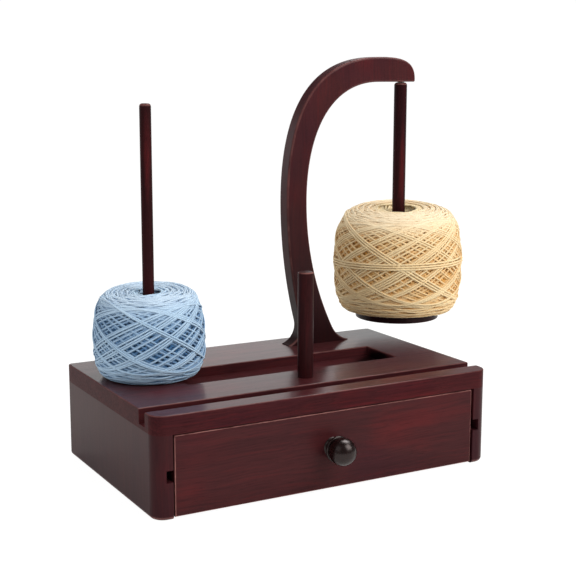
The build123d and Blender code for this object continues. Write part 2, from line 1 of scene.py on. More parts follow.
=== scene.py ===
"""Looks of the yarn dispenser box: stained wood, turned rods, wound yarn cakes, hardware and a studio.

Metres, in the frame of the packed model: X runs along the front, Y to the back, Z is up.
"""

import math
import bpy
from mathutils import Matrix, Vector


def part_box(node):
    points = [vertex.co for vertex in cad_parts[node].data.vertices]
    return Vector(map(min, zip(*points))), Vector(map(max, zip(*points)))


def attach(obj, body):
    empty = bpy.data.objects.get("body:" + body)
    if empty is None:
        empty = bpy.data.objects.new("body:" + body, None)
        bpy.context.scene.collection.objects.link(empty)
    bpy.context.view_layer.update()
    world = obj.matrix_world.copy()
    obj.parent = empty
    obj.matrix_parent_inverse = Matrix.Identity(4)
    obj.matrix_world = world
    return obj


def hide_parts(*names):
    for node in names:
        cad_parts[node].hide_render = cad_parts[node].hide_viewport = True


bl_info = {
    "name": "Yarn Dispenser Box",
    "version": (1, 0, 0),
    "blender": (4, 5, 0),
    "location": "View3D > Sidebar > Yarn Box",
    "description": "Finishes, wound yarn cakes and a studio for the yarn dispenser box",
    "category": "Object",
}

import bmesh
import bpy
from bpy.props import FloatProperty, FloatVectorProperty, IntProperty, PointerProperty
from bpy.types import Operator, Panel, PropertyGroup
from mathutils import Vector

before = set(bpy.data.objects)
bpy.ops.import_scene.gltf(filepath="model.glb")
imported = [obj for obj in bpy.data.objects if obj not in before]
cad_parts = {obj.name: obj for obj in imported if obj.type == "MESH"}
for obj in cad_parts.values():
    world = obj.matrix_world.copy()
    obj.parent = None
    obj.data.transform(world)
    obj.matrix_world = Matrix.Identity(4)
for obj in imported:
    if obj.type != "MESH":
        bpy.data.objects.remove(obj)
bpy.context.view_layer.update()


def srgb(red, green, blue):
    """A colour of 0 to 255 a channel, as the linear values that shaders take."""
    steps = [c / 255 for c in (red, green, blue)]
    return [c / 12.92 if c <= 0.04045 else ((c + 0.055) / 1.055) ** 2.4 for c in steps]


# ---------------- building node trees
class Bench:
    """Adds nodes to one tree and joins them as it goes."""

    def __init__(self, tree):
        self.tree = tree

    def feed(self, socket, value):
        """Link a socket, or set its own value."""
        if isinstance(value, bpy.types.NodeSocket):
            self.tree.links.new(value, socket)
        elif socket.type == "RGBA" and len(value) == 3:
            socket.default_value = (*value, 1.0)
        else:
            socket.default_value = value

    def add(self, kind, inputs=None, **settings):
        """A new node with its settings made and its inputs fed by name or number."""
        node = self.tree.nodes.new(kind)
        for name, value in settings.items():
            setattr(node, name, value)
        for key, value in (inputs or {}).items():
            self.feed(node.inputs[key], value)
        return node

    def math(self, operation, *values, clamp=False):
        node = self.add("ShaderNodeMath", operation=operation, use_clamp=clamp)
        for socket, value in zip(node.inputs, values):
            self.feed(socket, value)
        return node.outputs[0]

    def times(self, *values, clamp=False):
        return self.math("MULTIPLY", *values, clamp=clamp)

    def over(self, *values, clamp=False):
        return self.math("DIVIDE", *values, clamp=clamp)

    def plus(self, *values):
        return self.math("ADD", *values)

    def minus(self, *values, clamp=False):
        return self.math("SUBTRACT", *values, clamp=clamp)

    def vector(self, operation, *values):
        node = self.add("ShaderNodeVectorMath", operation=operation)
        for socket, value in zip(node.inputs, values):
            self.feed(socket, value)
        return node.outputs["Value" if operation in ("LENGTH", "DOT_PRODUCT") else "Vector"]

    def join(self, x=0.0, y=0.0, z=0.0):
        return self.add("ShaderNodeCombineXYZ", {"X": x, "Y": y, "Z": z}).outputs[0]

    def split(self, vector):
        return self.add("ShaderNodeSeparateXYZ", {0: vector}).outputs

    def place(self):
        """Where a point lies in its object's own coordinates."""
        return self.add("ShaderNodeTexCoord").outputs["Object"]

    def attribute(self, name):
        return self.add("ShaderNodeAttribute", attribute_name=name).outputs["Fac"]

    def bump(self, height, strength, distance):
        inputs = {"Height": height, "Strength": strength, "Distance": distance}
        return self.add("ShaderNodeBump", inputs).outputs[0]

    def noise(self, vector, scale, detail=2.0, roughness=0.5, output="Fac"):
        inputs = {"Vector": vector, "Scale": scale, "Detail": detail, "Roughness": roughness}
        return self.add("ShaderNodeTexNoise", inputs).outputs[output]

    def ramp(self, value, low, high, to_low=0.0, to_high=1.0):
        """Stretch low..high to to_low..to_high, held at its ends."""
        inputs = {0: value, 1: low, 2: high, 3: to_low, 4: to_high}
        return self.add("ShaderNodeMapRange", inputs, clamp=True).outputs[0]

    def blend(self, share, first, second):
        """Mix two colours."""
        node = self.add("ShaderNodeMix", {"Factor": share}, data_type="RGBA")
        for socket, colour_in in zip([s for s in node.inputs if s.type == "RGBA"], (first, second)):
            self.feed(socket, colour_in)
        return [s for s in node.outputs if s.type == "RGBA"][0]


def add_object(name, data):
    """A new object in the scene."""
    made = bpy.data.objects.new(name, data)
    bpy.context.scene.collection.objects.link(made)
    return made


MADE_GROUPS = {}


def shader_group(name, outputs, vector=True, **numbers):
    """An empty shader node group that puts out numbers: its bench, its inputs and its outputs by name."""
    tree = bpy.data.node_groups.new(name, "ShaderNodeTree")
    if vector:
        tree.interface.new_socket("Vector", in_out="INPUT", socket_type="NodeSocketVector")
    for socket_name, value in numbers.items():
        socket = tree.interface.new_socket(socket_name, in_out="INPUT", socket_type="NodeSocketFloat")
        socket.default_value = value
    for socket_name in outputs:
        tree.interface.new_socket(socket_name, in_out="OUTPUT", socket_type="NodeSocketFloat")
    bench = Bench(tree)
    return bench, bench.add("NodeGroupInput").outputs, bench.add("NodeGroupOutput").inputs


def use_group(bench, maker, inputs):
    """Place the node group that a maker builds, building it the first time."""
    if maker not in MADE_GROUPS:
        MADE_GROUPS[maker] = maker()
    node = bench.add("ShaderNodeGroup", node_tree=MADE_GROUPS[maker])
    for key, value in inputs.items():
        bench.feed(node.inputs[key], value)
    return node.outputs


def new_finish(name, **surface):
    """A material, its bench and its shader, with plain values set on the shader's own sockets."""
    finish = bpy.data.materials.new(name)
    finish.use_nodes = True
    bench = Bench(finish.node_tree)
    shader = finish.node_tree.nodes["Principled BSDF"]
    for key, value in surface.items():
        bench.feed(shader.inputs[key.replace("_", " ")], value)
    return finish, bench, shader.inputs


# ---------------- effects shared by the finishes
def timber_grain():
    """Timber along X: broad figure, fine fibres and open pores."""
    bench, given, out = shader_group("Timber Grain", ("Figure", "Fibre", "Pore"))
    place = given["Vector"]
    drift = bench.noise(place, 11.0, 2.0, output="Color")
    drift = bench.vector("SUBTRACT", drift, (0.5, 0.5, 0.5))
    drift = bench.vector("MULTIPLY", drift, (0.0, 0.012, 0.012))
    place = bench.vector("ADD", place, drift)
    broad = bench.vector("MULTIPLY", place, (3.5, 60.0, 60.0))
    figure = bench.noise(broad, 1.0, 3.0, 0.6)
    fine = bench.vector("MULTIPLY", place, (16.0, 620.0, 620.0))
    fibre = bench.noise(fine, 1.0, 3.0, 0.6)
    short = bench.vector("MULTIPLY", place, (90.0, 1900.0, 1900.0))
    pore = bench.ramp(bench.noise(short, 1.0, 1.0), 0.62, 0.74)
    bench.feed(out["Figure"], bench.ramp(figure, 0.3, 0.7))
    bench.feed(out["Fibre"], bench.ramp(fibre, 0.28, 0.72))
    bench.feed(out["Pore"], pore)
    return bench.tree


def stain_blotches():
    """Slow patches where a stain took more or less, from 0 to 1."""
    bench, given, out = shader_group("Stain Blotches", ("Mask",), Size=0.06, Amount=0.5)
    per_metre = bench.over(1.0, given["Size"])
    cloud = bench.noise(given["Vector"], per_metre, 2.0, 0.55)
    low = bench.minus(0.72, bench.times(given["Amount"], 0.4))
    mask = bench.over(bench.minus(cloud, low), 0.22, clamp=True)
    bench.feed(out["Mask"], mask)
    return bench.tree


def ply_twist():
    """The lay of a plied strand from its UV: U goes once round, V is the length in metres."""
    bench, given, out = shader_group("Ply Twist", ("Ridge",), vector=False, Plies=4.0, Pitch=0.006)
    around_along = bench.split(bench.add("ShaderNodeUVMap", uv_map="UVMap").outputs[0])
    turns = bench.over(around_along["Y"], given["Pitch"])
    lay = bench.plus(around_along["X"], turns)
    wave = bench.math("SINE", bench.times(bench.times(lay, given["Plies"]), math.tau))
    bench.feed(out["Ridge"], bench.math("ABSOLUTE", wave))
    return bench.tree


def worn_and_lit_edges():
    """Masks of the surface's own direction: rounded edges between flat faces, and faces that look up."""
    bench, given, out = shader_group("Worn Edges", ("Any Edge", "Level Edge", "Board Edge", "Up"))
    normal = bench.add("ShaderNodeNewGeometry").outputs["Normal"]
    x, y, z = bench.split(bench.vector("ABSOLUTE", normal))
    broken = bench.ramp(bench.noise(given["Vector"], 70.0, 3.0), 0.35, 0.6, 0.35, 1.0)

    def between(size):
        """1 where this share of the direction is neither none nor all of it."""
        both = bench.times(bench.ramp(size, 0.1, 0.4), bench.ramp(size, 0.99, 0.9))
        return bench.times(both, broken)

    largest = bench.math("MAXIMUM", bench.math("MAXIMUM", x, y), z)
    bench.feed(out["Any Edge"], bench.times(bench.ramp(largest, 0.985, 0.9), broken))
    bench.feed(out["Level Edge"], between(z))
    bench.feed(out["Board Edge"], between(y))
    bench.feed(out["Up"], bench.ramp(bench.split(normal)["Z"], 0.7, 0.98))
    return bench.tree


# ---------------- sizes and colours a user may change
def colour(name, description, *levels):
    return FloatVectorProperty(
        name=name, description=description, subtype="COLOR", size=3, min=0, max=1, default=srgb(*levels)
    )


def length(name, description, default):
    return FloatProperty(name=name, description=description, unit="LENGTH", default=default, precision=4)


def number(name, description, default):
    return FloatProperty(name=name, description=description, default=default, min=0)


class YARNBOX_PG_wood(PropertyGroup):
    """Stain and polish of the timber."""

    stain: colour("Stain", "Usual colour of the stained timber", 71, 32, 34)
    stain_deep: colour("Deep Stain", "Colour of the darkest streaks", 45, 19, 23)
    stain_red: colour("Red Stain", "Colour where the stain is thin", 105, 27, 29)
    stain_plum: colour("Plum Stain", "Colour where the stain is thick", 60, 25, 34)
    # edge: lighter colour of rubbed edges, which also stands for a painted highlight along them
    edge: colour("Rubbed And Lit Edge", "Colour of the rubbed edges", 172, 118, 112)
    polish: FloatProperty(name="Polish", description="Roughness of the lacquer", default=0.3, min=0, max=1)


class YARNBOX_PG_metal(PropertyGroup):
    """Screws, pin and magnet."""

    steel: colour("Steel", "Screws and pin", 168, 166, 162)
    nickel: colour("Nickel", "Plating of the magnet", 196, 190, 180)


class YARNBOX_PG_studio(PropertyGroup):
    """Floor, lamps and camera."""

    ground: colour("Floor", "Colour of the floor", 236, 235, 233)
    key_power: number("Key Lamp", "Power of the main lamp", 48.0)
    top_power: number("Top Lamp", "Power of the lamp overhead", 10.0)
    fill_power: number("Fill Lamp", "Power of the lamp at the left", 3.0)
    sky: number("Surround", "Light from all round", 0.58)
    lens: FloatProperty(name="Lens", description="Focal length in millimetres", default=76.196, min=1)


# settings that differ from cake to cake: (cream, blue)
CAKE_SETTINGS = {
    "strand": (0.0021, 0.0018),
    "rise": (0.000023, 0.00003),
    "high_turn": (0.0865, 0.0635),
    "low_turn": (0.011, 0.009),
    "wander": (0.0016, 0.0016),
    "per_pass": (30.62, 20.62),
    "loops": (300, 270),
    "light": ((255, 233, 187), (197, 226, 250)),
    # deep: darker, warmer colour painted as shade on strands that lie below others
    "deep": ((226, 163, 74), (62, 116, 168)),
}


def cake_settings(class_name, summary, which):
    """The property group of one cake, with that cake's own defaults."""
    own = {key: pair[which] for key, pair in CAKE_SETTINGS.items()}
    notes = {
        "strand": (length, "Strand", "Diameter of the yarn"),
        "rise": (length, "Rise", "Thickness that one loop adds to the cake"),
        "high_turn": (length, "High Turn", "Height where the last loops turn back above"),
        "low_turn": (length, "Low Turn", "Height where the last loops turn back below"),
        "wander": (length, "Wander", "Sideways wander of the loops"),
        "per_pass": (number, "Loops per Pass", "Loops laid before the winding comes round again"),
    }
    fields = {key: make(label, note, own[key]) for key, (make, label, note) in notes.items()}
    fields["loops"] = IntProperty(name="Loops", description="Loops in the whole cake", default=own["loops"])
    fields["light"] = colour("Light", "Colour of the outer strands", *own["light"])
    # the deep colour is painted shade on the strands below
    fields["deep"] = colour("Deep", "Colour of the strands below them", *own["deep"])
    return type(class_name, (PropertyGroup,), {"__doc__": summary, "__annotations__": fields})


YARNBOX_PG_cream = cake_settings("YARNBOX_PG_cream", "The cream cake on the hanging rod.", 0)
YARNBOX_PG_blue = cake_settings("YARNBOX_PG_blue", "The blue cake on the spindle.", 1)

# ---------------- timber
GRAIN_TURN = {"X": (0.0, 0.0, 0.0), "Y": (0.0, 0.0, math.pi / 2), "Z": (0.0, math.pi / 2, 0.0)}
PORE_BROWN = srgb(30, 13, 15)
DARKER_TONE_AND_SHADE_BROWN = srgb(16, 5, 6)
PAINTED_SHADE_BROWN = srgb(14, 5, 6)
FOOT_LEVEL, TOP_LEVEL = 0.09, 0.33  # heights between which a piece's darkening changes; on the arm this is painted shade towards the foot

# patches: (middle, reach along X, Y and Z); the tray's far right end gets painted shade, the drawer front a
# thinner, redder stain, and the rods painted highlight streaks
TRAY_END_SHADE = [((0.109, -0.0903, 0.0722), (0.03, 0.0236, 0.0082))]
RUBBED = [((0.082, -0.188, 0.048), (0.05, 1.0, 0.011))]
ROD_HIGHLIGHT_STREAKS = [
    ((0.1673, -0.0324, 0.235), (0.0034, 0.0034, 0.05)),
    ((-0.1066, -0.0742, 0.255), (0.0028, 0.0028, 0.04)),
    ((0.0005, -0.1455, 0.13), (0.0036, 0.0036, 0.04)),
]


def along_grain(bench, place, grain, seed=0.0):
    """The place turned so that X runs along the grain, and moved so that each piece has its own figure."""
    turned = bench.add("ShaderNodeMapping", {"Vector": place, "Rotation": GRAIN_TURN[grain]}).outputs[0]
    return bench.vector("ADD", turned, (seed, seed * 1.7, seed * 2.3))


def patch(bench, place, along, centre, reach, whole_at):
    """1 in the middle of a ragged patch and 0 outside; whole_at is the share of its reach that is full."""
    away = bench.vector("LENGTH", bench.vector("DIVIDE", bench.vector("SUBTRACT", place, centre), reach))
    ragged = bench.noise(along, 45.0, 3.0)
    away = bench.minus(bench.plus(away, ragged), 0.5)
    return bench.ramp(away, 1.1, whole_at)


def stained_wood(
    name, grain, seed, edges="Level Edge", edge_wear_and_highlight=0.4, streaks=1.0, ior=1.2,
    dark=None, thin=(), thick=(), coated=False,
):
    """Stained and lacquered timber with its grain along one axis and its edges rubbed a little.

    dark is how far it is darkened at the foot and at the top; thin and thick are the patches of its stain.
    """
    wood = bpy.context.scene.yarnbox_wood
    finish, bench, surface = new_finish(name, IOR=ior, Coat_Roughness=0.22, Coat_IOR=1.45)
    place = bench.place()
    turned = along_grain(bench, place, grain, seed)
    timber = use_group(bench, timber_grain, {"Vector": turned})
    along = bench.vector("MULTIPLY", turned, (0.55, 1.0, 1.0))
    red = use_group(bench, stain_blotches, {"Vector": along, "Size": 0.055, "Amount": 0.42})["Mask"]
    aside = bench.vector("ADD", along, (3.1, 1.3, 0.7))
    plum = use_group(bench, stain_blotches, {"Vector": aside, "Size": 0.06, "Amount": 0.55})["Mask"]
    edge_and_up_masks = use_group(bench, worn_and_lit_edges, {"Vector": place})
    thin_stain_and_highlight = 0.0
    # thin patches: thinner, redder stain on the drawer front, and painted highlight streaks on the rods
    for centre, reach in thin:
        thin_stain_and_highlight = bench.math("MAXIMUM", thin_stain_and_highlight, patch(bench, place, along, centre, reach, 0.3))
    red = bench.math("MAXIMUM", red, thin_stain_and_highlight)
    tone = bench.blend(bench.times(plum, 0.75), wood.stain, wood.stain_plum)
    tone = bench.blend(bench.times(red, 0.5), tone, wood.stain_red)
    tone = bench.blend(bench.times(timber["Figure"], 0.5 * streaks), tone, wood.stain_deep)
    tone = bench.blend(bench.ramp(timber["Fibre"], 0.45, 0.9, 0.0, 0.5 * streaks), tone, wood.stain_deep)
    tone = bench.blend(bench.ramp(timber["Fibre"], 0.4, 0.1, 0.0, 0.2 * streaks), tone, wood.stain_red)
    tone = bench.blend(bench.times(timber["Pore"], 0.5 * streaks), tone, PORE_BROWN)
    # darker towards the foot: on the arm this is painted shade at its foot; the rods' painted highlight
    # streaks keep less of it
    if dark:
        darker_tone_and_shade = bench.ramp(bench.split(place)["Z"], FOOT_LEVEL, TOP_LEVEL, *dark)
        kept = bench.minus(1.0, bench.times(thin_stain_and_highlight, 0.6))
        tone = bench.blend(bench.times(darker_tone_and_shade, kept), tone, DARKER_TONE_AND_SHADE_BROWN)
    # painted shade: the thick patches darken a recess, here the tray's far end
    for centre, reach in thick:
        tone = bench.blend(patch(bench, place, along, centre, reach, 0.6), tone, PAINTED_SHADE_BROWN)
    # lighter edges: rubbed wear, and a painted highlight along them
    tone = bench.blend(bench.times(edge_and_up_masks[edges], edge_wear_and_highlight), tone, wood.edge)
    bench.feed(surface["Base Color"], tone)
    bench.feed(surface["Roughness"], bench.math("MULTIPLY_ADD", timber["Fibre"], 0.08 * streaks, wood.polish))
    if coated:
        # the clear coat lies on what faces up, and is rubbed off towards the front right
        x, y, _ = bench.split(place)
        dulled = bench.times(bench.ramp(x, 0.03, 0.09), bench.ramp(y, -0.06, -0.11))
        coat = bench.ramp(dulled, 0.0, 1.0, 0.62, 0.04)
        bench.feed(surface["Coat Weight"], bench.times(edge_and_up_masks["Up"], coat))
    height = bench.minus(bench.times(timber["Fibre"], 0.5), timber["Pore"])
    bench.feed(surface["Normal"], bench.bump(height, 0.12 * streaks, 0.0002))
    return finish


def pale_wood(name, grain, seed, *levels):
    """Bare, light timber for dowels and the drawer's floor."""
    finish, bench, surface = new_finish(name, Roughness=0.62)
    timber = use_group(bench, timber_grain, {"Vector": along_grain(bench, bench.place(), grain, seed)})
    light, dark, darkest = (srgb(*[c * share for c in levels]) for share in (1.0, 0.72, 0.5))
    tone = bench.blend(bench.times(timber["Figure"], 0.7), light, dark)
    tone = bench.blend(bench.times(timber["Pore"], 0.6), tone, darkest)
    bench.feed(surface["Base Color"], tone)
    bench.feed(surface["Normal"], bench.bump(timber["Fibre"], 0.2, 0.0002))
    return finish


def dress(finish, *nodes):
    """Give nodes of the packed model a finish."""
    for node in nodes:
        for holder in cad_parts[node].material_slots:
            holder.material = finish


class YARNBOX_OT_timber(Operator):
    """Stain the cabinet, arm, rods and drawer"""

    bl_idname = "yarnbox.timber"
    bl_label = "Timber"

    def execute(self, context):
        # the top: painted shade at the tray's far right end
        top = stained_wood("Stained Wood, Top", "X", 1.0, edge_wear_and_highlight=0.2, thick=TRAY_END_SHADE, coated=True, ior=1.1)
        dress(top, "top_board")
        sides = stained_wood("Stained Wood, Sides", "Z", 2.4, streaks=0.4, dark=(0.3, 0.3))
        dress(sides, "left_side", "right_side")
        dress(stained_wood("Stained Wood, Back", "X", 3.9), "back_panel")
        # the drawer front: strongly lightened edges, a painted highlight as well as wear
        front = "Stained Wood, Drawer Front", "X", 5.3, "Any Edge"
        dress(stained_wood(*front, edge_wear_and_highlight=0.9, streaks=0.8, dark=(0.08, 0.08), thin=RUBBED), "drawer_front")
        # the arm: painted shade, darkest at its foot
        arm = "Stained Wood, Arm", "Z", 6.6, "Board Edge"
        dress(stained_wood(*arm, edge_wear_and_highlight=0.2, streaks=0.7, dark=(0.75, -0.05)), "arm")
        # the rods: painted highlight streaks, redder and less darkened
        rods = stained_wood("Stained Wood, Rods", "Z", 7.2, dark=(0.55, 0.62), thin=ROD_HIGHLIGHT_STREAKS, ior=1.12)
        dress(rods, "spindle", "rest_post", "hanging_rod")
        dress(stained_wood("Stained Wood, Saucer", "X", 8.8, dark=(0.65, 0.65)), "saucer")
        walls = stained_wood("Stained Wood, Drawer Walls", "Y", 9.5)
        dress(walls, "drawer_left_side", "drawer_right_side", "left_runner", "right_runner")
        dress(stained_wood("Stained Wood, Drawer Back", "X", 10.7), "drawer_back")
        dowels = pale_wood("Dowel Wood", "X", 11.1, 205, 172, 128)
        dress(dowels, "case_dowels", "back_dowels", "drawer_dowels")
        dress(pale_wood("Drawer Floor", "X", 12.9, 176, 138, 104), "drawer_bottom")
        return {"FINISHED"}


# ---------------- hardware
def metal(name, tint, roughness):
    """Turned metal with fine rings of tool marks and a little tarnish."""
    finish, bench, surface = new_finish(name, Metallic=1.0)
    place = bench.place()
    tarnish = bench.noise(place, 900.0, 3.0, 0.6)
    marks = bench.noise(bench.vector("MULTIPLY", place, (300.0, 300.0, 6000.0)), 1.0, 1.0)
    dull = [c * 0.5 for c in tint]
    bench.feed(surface["Base Color"], bench.blend(bench.ramp(tarnish, 0.4, 0.8, 0.0, 0.5), tint, dull))
    bench.feed(surface["Roughness"], bench.ramp(tarnish, 0.3, 0.7, roughness, roughness + 0.15))
    bench.feed(surface["Normal"], bench.bump(marks, 0.15, 0.00005))
    return finish


def knob_lacquer():
    """Black-brown gloss lacquer, with a trace of the turned wood under it."""
    finish, bench, surface = new_finish("Knob Lacquer", IOR=1.46, Specular_Tint=(1.0, 0.86, 0.84, 1.0))
    place = bench.place()
    fibre = use_group(bench, timber_grain, {"Vector": along_grain(bench, place, "Y")})["Fibre"]
    bench.feed(surface["Base Color"], bench.blend(fibre, srgb(26, 10, 9), srgb(10, 3, 4)))
    smear = bench.noise(place, 160.0, 2.0)
    bench.feed(surface["Roughness"], bench.ramp(smear, 0.3, 0.7, 0.25, 0.3))
    bench.feed(surface["Normal"], bench.bump(fibre, 0.08, 0.0002))
    return finish


class YARNBOX_OT_hardware(Operator):
    """Finish the knob, screws, pin and magnet"""

    bl_idname = "yarnbox.hardware"
    bl_label = "Hardware"

    def execute(self, context):
        tints = context.scene.yarnbox_metal
        steel = metal("Steel", list(tints.steel), 0.28)
        dress(steel, "arm_screws", "runner_screws", "knob_screw", "saucer_screw", "pivot_pin")
        dress(metal("Nickel", list(tints.nickel), 0.18), "arm_magnet")
        dress(knob_lacquer(), "knob")
        return {"FINISHED"}


# ---------------- wound yarn
PLAIN_YARN = {"Roughness": 0.78, "Sheen_Weight": 0.6, "Sheen_Roughness": 0.45, "Specular_IOR_Level": 0.2}
TUBE_SIDES = 6
LOOP_POINTS = 64
TUCK_LOOPS = 0.2  # share of a loop over which a strand's end dives under the others
TUCK_DEPTH = 0.003
FLATTENING = 0.09  # how much the last loops linger where they turn back
UNEVENNESS = 0.07  # share by which the strand's thickness swings
LOOP_PARTS = 2  # pieces that share the loops of one cake
FIRST_LOOPS_DOWN = 0.45  # how far down the mouth the first loops turn back
WINDING_NUMBERS = (
    "First Loop, Loops, Loops in All, Loops per Pass, Phase, High Turn First, High Turn Last, "
    "Low Turn First, Low Turn Last, Climb, Rise, Relief, Deepest, Lift, Strand, Wander, Reach Wander, "
    "Ripple, Lean, Lean Turn, Lean From, Lean To, Seed"
).split(", ")


def quarter(start, corner, end, fullness, steps=24):
    """Points of a curve that leaves and arrives along the sides of a corner, as in the solid's outline."""
    first, last = ([a + fullness * (b - a) for a, b in zip(point, corner)] for point in (start, end))
    points = []
    for i in range(1, steps + 1):
        t = i / steps
        a, b, c, d = (1 - t) ** 3, 3 * t * (1 - t) ** 2, 3 * t * t * (1 - t), t**3
        points.append(tuple(a * start[k] + b * first[k] + c * last[k] + d * end[k] for k in (0, 1)))
    return points


def cake_outline(shape, start):
    """Half the cake's outline as (radius, height) points: out along the base, up, and into the mouth."""
    radius, height, belly = shape["radius"], shape["height"], shape["belly"]
    foot, top = radius - shape["base_inset"], radius - shape["top_inset"]
    seat, sag = shape["seat"], -shape["sag"]
    points = [(start, 0.0), (seat, 0.0), (seat - sag, sag), (foot, sag)]
    points += quarter(points[-1], (radius, sag), (radius, belly), shape["base_fullness"])
    points += quarter(points[-1], (radius, height), (top, height), shape["top_fullness"])
    points.append((shape["mouth"], height))
    core, floor = shape["core"], height - shape["mouth_depth"]
    points += quarter(points[-1], (core, height), (core, floor), shape["mouth_fullness"])
    return points


def run_to(points, test):
    """Distance along the outline, from its start to its first point that passes a test."""
    run = 0.0
    for before, point in zip(points[:1] + points, points):
        run += math.dist(before, point)
        if test(*point):
            return run
    raise ValueError("no point of the outline passes the test")


def store(bench, geometry, name, value, **settings):
    """Keep a value on the geometry under a name that the finishes read."""
    inputs = {"Geometry": geometry, "Name": name, "Value": value}
    return bench.add("GeometryNodeStoreNamedAttribute", inputs, **settings).outputs[0]


def capture(bench, geometry, kind, name, value):
    """Hold a value from here on: the geometry and the held value."""
    node = bench.add("GeometryNodeCaptureAttribute", {0: geometry}, domain="POINT")
    node.capture_items.new(kind, name)
    bench.feed(node.inputs[name], value)
    return node.outputs[0], node.outputs[name]


def onto_cake(bench, given, line, angle, run, out, sink):
    """Put a line's points on the cake: on its outline, then round its axis, with the top leaning.

    Gives the points and the way that faces out of the cake there.
    """
    times, over, minus = bench.times, bench.over, bench.minus
    profile = bench.add("GeometryNodeObjectInfo", {"Object": given["Profile"]}, transform_space="ORIGINAL")
    inputs = {"Curves": profile.outputs["Geometry"], "Length": run}
    sample = bench.add("GeometryNodeSampleCurve", inputs, mode="LENGTH").outputs
    point, along = bench.split(sample["Position"]), bench.split(sample["Tangent"])
    around, aside = bench.math("COSINE", angle), bench.math("SINE", angle)
    radius = bench.math("MULTIPLY_ADD", along["Z"], out, point["X"])
    height = minus(point["Z"], times(along["X"], out))
    leaning = over(minus(height, given["Lean From"]), minus(given["Lean To"], given["Lean From"]), clamp=True)
    dip = times(radius, bench.math("COSINE", minus(angle, given["Lean Turn"])))
    height = minus(height, times(times(dip, given["Lean"]), leaning))
    place = bench.join(times(radius, around), times(radius, aside), height)
    place = bench.vector("ADD", place, given["Centre"])
    laid = bench.add("GeometryNodeSetPosition", {"Geometry": line, "Position": place}).outputs[0]
    # depth: how far a strand lies under later loops, which the finish paints as shade; less so where it faces
    # up
    per_pass_depth = times(times(given["Rise"], given["Loops per Pass"]), 2.6)
    upward = times(along["X"], -1.0, clamp=True)
    depth = over(sink, per_pass_depth, clamp=True)
    depth = times(depth, bench.math("MULTIPLY_ADD", upward, -0.7, 1.0))
    laid = store(bench, store(bench, laid, "depth", depth), "upward", upward)
    outward = bench.join(times(along["Z"], around), times(along["Z"], aside), times(along["X"], -1.0))
    return capture(bench, laid, "VECTOR", "Outward", outward)


def swell_to_tube(bench, points, swell, thickness):
    """A round tube along a row of points, closed at both ends, with its turn and its length as UV."""
    rail = bench.add("GeometryNodeMeshToCurve", {"Mesh": points})
    rail = bench.add("GeometryNodeSetCurveRadius", {"Curve": rail.outputs[0], "Radius": swell}).outputs[0]
    length_so_far = bench.add("GeometryNodeSplineParameter").outputs["Length"]
    rail, run = capture(bench, rail, "FLOAT", "Run", length_so_far)
    inputs = {"Resolution": TUBE_SIDES + 1, "Radius": thickness, "Sweep Angle": math.tau}
    section = bench.add("GeometryNodeCurveArc", inputs).outputs[0]
    share_round = bench.add("GeometryNodeSplineParameter").outputs["Factor"]
    section, around = capture(bench, section, "FLOAT", "Around", share_round)
    tube = bench.add("GeometryNodeCurveToMesh", {"Curve": rail, "Profile Curve": section}).outputs[0]
    tube = store(bench, tube, "UVMap", bench.join(around, run), data_type="FLOAT2", domain="CORNER")
    return bench.add("GeometryNodeMergeByDistance", {"Geometry": tube, "Distance": 1e-6}).outputs[0]


